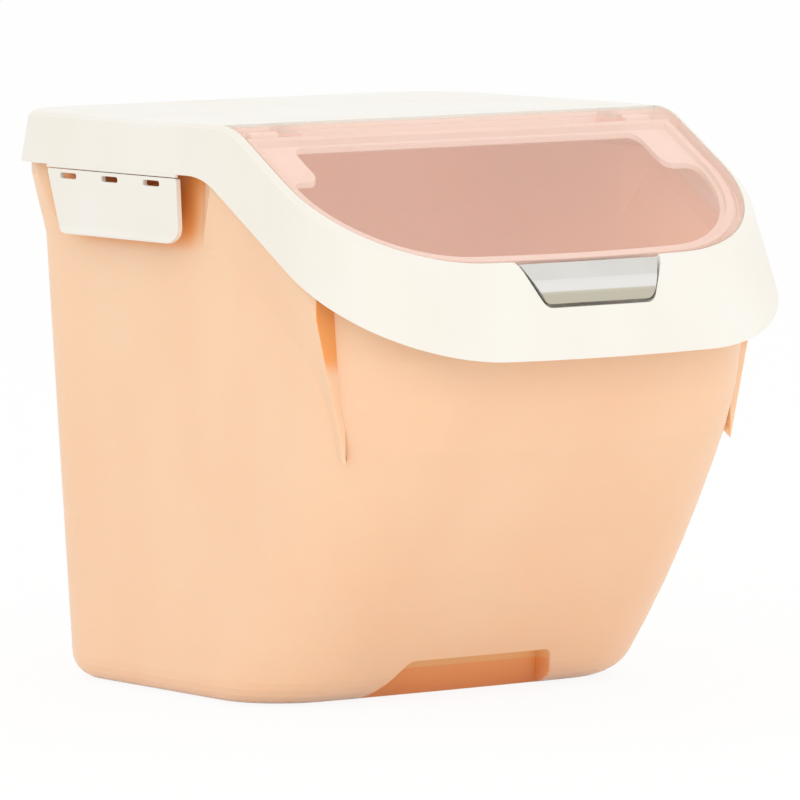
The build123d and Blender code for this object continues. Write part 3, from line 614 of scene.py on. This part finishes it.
class RICEBIN_OT_flap(bpy.types.Operator):
    """Gives the flap its clear plastic, hazier where it is seen along its surface"""
    bl_idname = "ricebin.flap"
    bl_label = "Flap"

    def execute(self, context):
        look = context.scene.rice_bin_flap
        made, shader = material("Clear flap plastic", {"IOR": 1.49})
        tree = made.node_tree
        skin = use(
            made, moulded_grain, Grain_Size=3 * MM, Wave_Size=70 * MM, Wave_Share=1.0, Gloss=look.gloss,
            Gloss_Change=0.05
        )
        tint = use(
            made, resin_cloud, Base=(*look.colour, 1), Second=(*look.second, 1), Cloud_Size=120 * MM,
            Amount=0.5
        )
        facing = add(tree, "ShaderNodeLayerWeight", {"Blend": FACING_BLEND})
        haze = spread(tree, facing.outputs["Facing"], HAZE_START, 1.0, look.haze, look.edge_haze)
        path = add(tree, "ShaderNodeLightPath")
        soft_ray = maths(tree, "MAXIMUM", path.outputs["Is Shadow Ray"], path.outputs["Is Diffuse Ray"])
        kept = spread(tree, soft_ray, 0.0, 1.0, 1.0, look.veil)
        tree.links.new(tint.outputs["Color"], shader.inputs["Base Color"])
        tree.links.new(skin.outputs["Roughness"], shader.inputs["Roughness"])
        tree.links.new(product(tree, haze, kept), shader.inputs["Alpha"])
        dress(["flap"], made)
        return {"FINISHED"}


class RICEBIN_OT_latch(bpy.types.Operator):
    """Gives the latch button its satin grey plastic, with a painted lighter finger face, a painted darker lip
    and painted shade on its sides in the gap round it
    """
    bl_idname = "ricebin.latch"
    bl_label = "Latch"

    def execute(self, context):
        look = context.scene.rice_bin_latch
        low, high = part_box("latch_button")

        def band(front, back):
            """The stretch of the button from one depth behind its front edge to another, with soft sides."""
            return soft_box((low.x, low.y + front, low.z), (high.x, low.y + back, high.z), BAND_EDGES)

        made = plastic(
            "Satin grey latch plastic", look.colour, look.second, look.gloss, 0.3 * MM,
            own={"Metallic": 0.15, "Coat Weight": 0.3, "Coat Roughness": 0.25},
            cloud=60 * MM, depth=0.005 * MM, marks=Marks(low.z, high.z, strength=0.5),
            painted_shading=[
                # Painted light on the finger face and painted shade on the lip
                PaintedShading([band(look.lip_depth, look.middle_depth)], look.middle, amount=1.0),
                PaintedShading([band(0, look.lip_depth)], look.lip, amount=1.0),
            ],
            # Painted shade on the button's sides in the gap round it
            shades=[Shade(look.gap, reach=3 * MM, deep=0.1, shallow=0.45, amount=0.8)]
        )
        dress(["latch_button"], made)
        return {"FINISHED"}


class RICEBIN_OT_small(bpy.types.Operator):
    """Gives the seals their soft silicone, and the pins and the spring their drawn steel"""
    bl_idname = "ricebin.small"
    bl_label = "Seals, pins and spring"

    def execute(self, context):
        look = context.scene.rice_bin_small
        soft = plastic("Soft seal silicone", look.seal, dimmed(look.seal, 0.92), gloss=0.6, grain=0.4 * MM)
        dress(["lid_seal", "flap_seal"], soft)
        steel = plastic(
            "Drawn pin steel", look.steel, dimmed(look.steel, 0.85), gloss=0.28, grain=0.15 * MM,
            own={"Metallic": 1.0}, cloud=4 * MM, depth=0.004 * MM, change=0.15
        )
        dress(["hinge_pin_left", "hinge_pin_right", "latch_pin", "latch_spring"], steel)
        return {"FINISHED"}


# Stage


def seen_directly(tree):
    """Mask of the rays that come straight from the camera, or by a mirror or clear plastic."""
    path = add(tree, "ShaderNodeLightPath")
    seen = maths(tree, "MAXIMUM", path.outputs["Is Camera Ray"], path.outputs["Is Glossy Ray"])
    return maths(tree, "MAXIMUM", seen, path.outputs["Is Transmission Ray"])


def pale_floor(look):
    """The flat floor, which the camera sees as nearly plain white."""
    half = look.floor_size / 2
    corners = [(-half, -half, 0), (half, -half, 0), (half, half, 0), (-half, half, 0)]
    mesh = bpy.data.meshes.new("studio_floor")
    mesh.from_pydata(corners, [], [(0, 1, 2, 3)])
    floor = bpy.data.objects.new("studio_floor", mesh)
    bpy.context.scene.collection.objects.link(floor)
    made, shader = material(
        "Pale studio floor", {"Base Color": (*look.floor, 1), "Roughness": 0.9, "Specular IOR Level": 0.1}
    )
    tree = made.node_tree
    white = add(tree, "ShaderNodeEmission", {"Color": (1, 1, 1, 1), "Strength": 1.0})
    blend = add(tree, "ShaderNodeMixShader")
    tree.links.new(product(tree, seen_directly(tree), look.wash), blend.inputs[0])
    tree.links.new(shader.outputs[0], blend.inputs[1])
    tree.links.new(white.outputs[0], blend.inputs[2])
    tree.links.new(blend.outputs[0], tree.nodes["Material Output"].inputs["Surface"])
    mesh.materials.append(made)


def white_surround(look):
    """The even light all round, which the camera sees as plain white."""
    world = bpy.data.worlds.new("White surround")
    bpy.context.scene.world = world
    world.use_nodes = True
    tree = world.node_tree
    back = tree.nodes["Background"]
    back.inputs["Color"].default_value = (1, 1, 1, 1)
    level = spread(tree, seen_directly(tree), 0.0, 1.0, look.sky, 1.0)
    tree.links.new(level, back.inputs["Strength"])


def lamp(name, place, aim, width, watts):
    """A large square lamp that faces a point."""
    light = bpy.data.lights.new(name, "AREA")
    light.shape = "SQUARE"
    light.size = width
    light.energy = watts
    made = bpy.data.objects.new(name, light)
    made.location = place
    made.rotation_mode = "QUATERNION"
    made.rotation_quaternion = (aim - Vector(place)).to_track_quat("-Z", "Y")
    bpy.context.scene.collection.objects.link(made)


def photo_camera(look, aim):
    """The camera, which stands off from its aim by azimuth and elevation and tilts about its own axis."""
    turn, rise, tilt = look.azimuth, look.elevation, look.roll
    backwards = Vector((-math.sin(turn) * math.cos(rise), -math.cos(turn) * math.cos(rise), math.sin(rise)))
    level_right = Vector((math.cos(turn), -math.sin(turn), 0))
    level_up = backwards.cross(level_right)
    right = level_right * math.cos(tilt) + level_up * math.sin(tilt)
    up = level_up * math.cos(tilt) - level_right * math.sin(tilt)
    data = bpy.data.cameras.new("photo_camera")
    data.sensor_width = SENSOR_WIDTH
    data.lens = look.lens
    data.clip_end = FAR_CLIP
    camera = bpy.data.objects.new("photo_camera", data)
    axes = Matrix((right, up, backwards)).transposed()
    camera.matrix_world = Matrix.Translation(aim + backwards * look.distance) @ axes.to_4x4()
    bpy.context.scene.collection.objects.link(camera)
    bpy.context.scene.camera = camera


class RICEBIN_OT_studio(bpy.types.Operator):
    """Builds the pale floor, the soft lamps, the white surround and the camera"""
    bl_idname = "ricebin.studio"
    bl_label = "Studio"

    def execute(self, context):
        look = context.scene.rice_bin_studio
        aim = Vector(look.look_at)
        pale_floor(look)
        white_surround(look)
        lamp("key_lamp", KEY_PLACE, aim, KEY_WIDTH, look.key)
        lamp("fill_lamp", FILL_PLACE, aim, FILL_WIDTH, look.fill)
        lamp("top_lamp", TOP_PLACE, aim, TOP_WIDTH, look.top)
        photo_camera(look, aim)
        context.scene.view_settings.view_transform = "Standard"
        return {"FINISHED"}


class RICEBIN_PT_looks(bpy.types.Panel):
    """Buttons and colours of the rice bin"""
    bl_idname = "RICEBIN_PT_looks"
    bl_label = "Rice bin"
    bl_space_type = "VIEW_3D"
    bl_region_type = "UI"
    bl_category = "Rice bin"

    def draw(self, context):
        for operator in OPERATORS:
            self.layout.operator(operator.bl_idname)
        for name, group in SETTINGS.items():
            box = self.layout.box()
            box.label(text=group.__name__.replace("RiceBin", ""))
            for key in group.__annotations__:
                box.prop(getattr(context.scene, name), key)


SETTINGS = {
    "rice_bin_tub": RiceBinTub,
    "rice_bin_lid": RiceBinLid,
    "rice_bin_flap": RiceBinFlap,
    "rice_bin_latch": RiceBinLatch,
    "rice_bin_small": RiceBinSmall,
    "rice_bin_studio": RiceBinStudio,
}
OPERATORS = (
    RICEBIN_OT_tub,
    RICEBIN_OT_lid,
    RICEBIN_OT_clips,
    RICEBIN_OT_flap,
    RICEBIN_OT_latch,
    RICEBIN_OT_small,
    RICEBIN_OT_studio,
)


def register():
    for group in SETTINGS.values():
        bpy.utils.register_class(group)
    for name, group in SETTINGS.items():
        setattr(bpy.types.Scene, name, PointerProperty(type=group))
    for operator in OPERATORS:
        bpy.utils.register_class(operator)
    bpy.utils.register_class(RICEBIN_PT_looks)


def unregister():
    bpy.utils.unregister_class(RICEBIN_PT_looks)
    for operator in reversed(OPERATORS):
        bpy.utils.unregister_class(operator)
    for name, group in SETTINGS.items():
        delattr(bpy.types.Scene, name)
        bpy.utils.unregister_class(group)


def main():
    """Registers the add-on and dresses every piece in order."""
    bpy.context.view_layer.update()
    register()
    for operator in OPERATORS:
        group, action = operator.bl_idname.split(".")
        getattr(getattr(bpy.ops, group), action)()


if __name__ == "__main__":
    main()
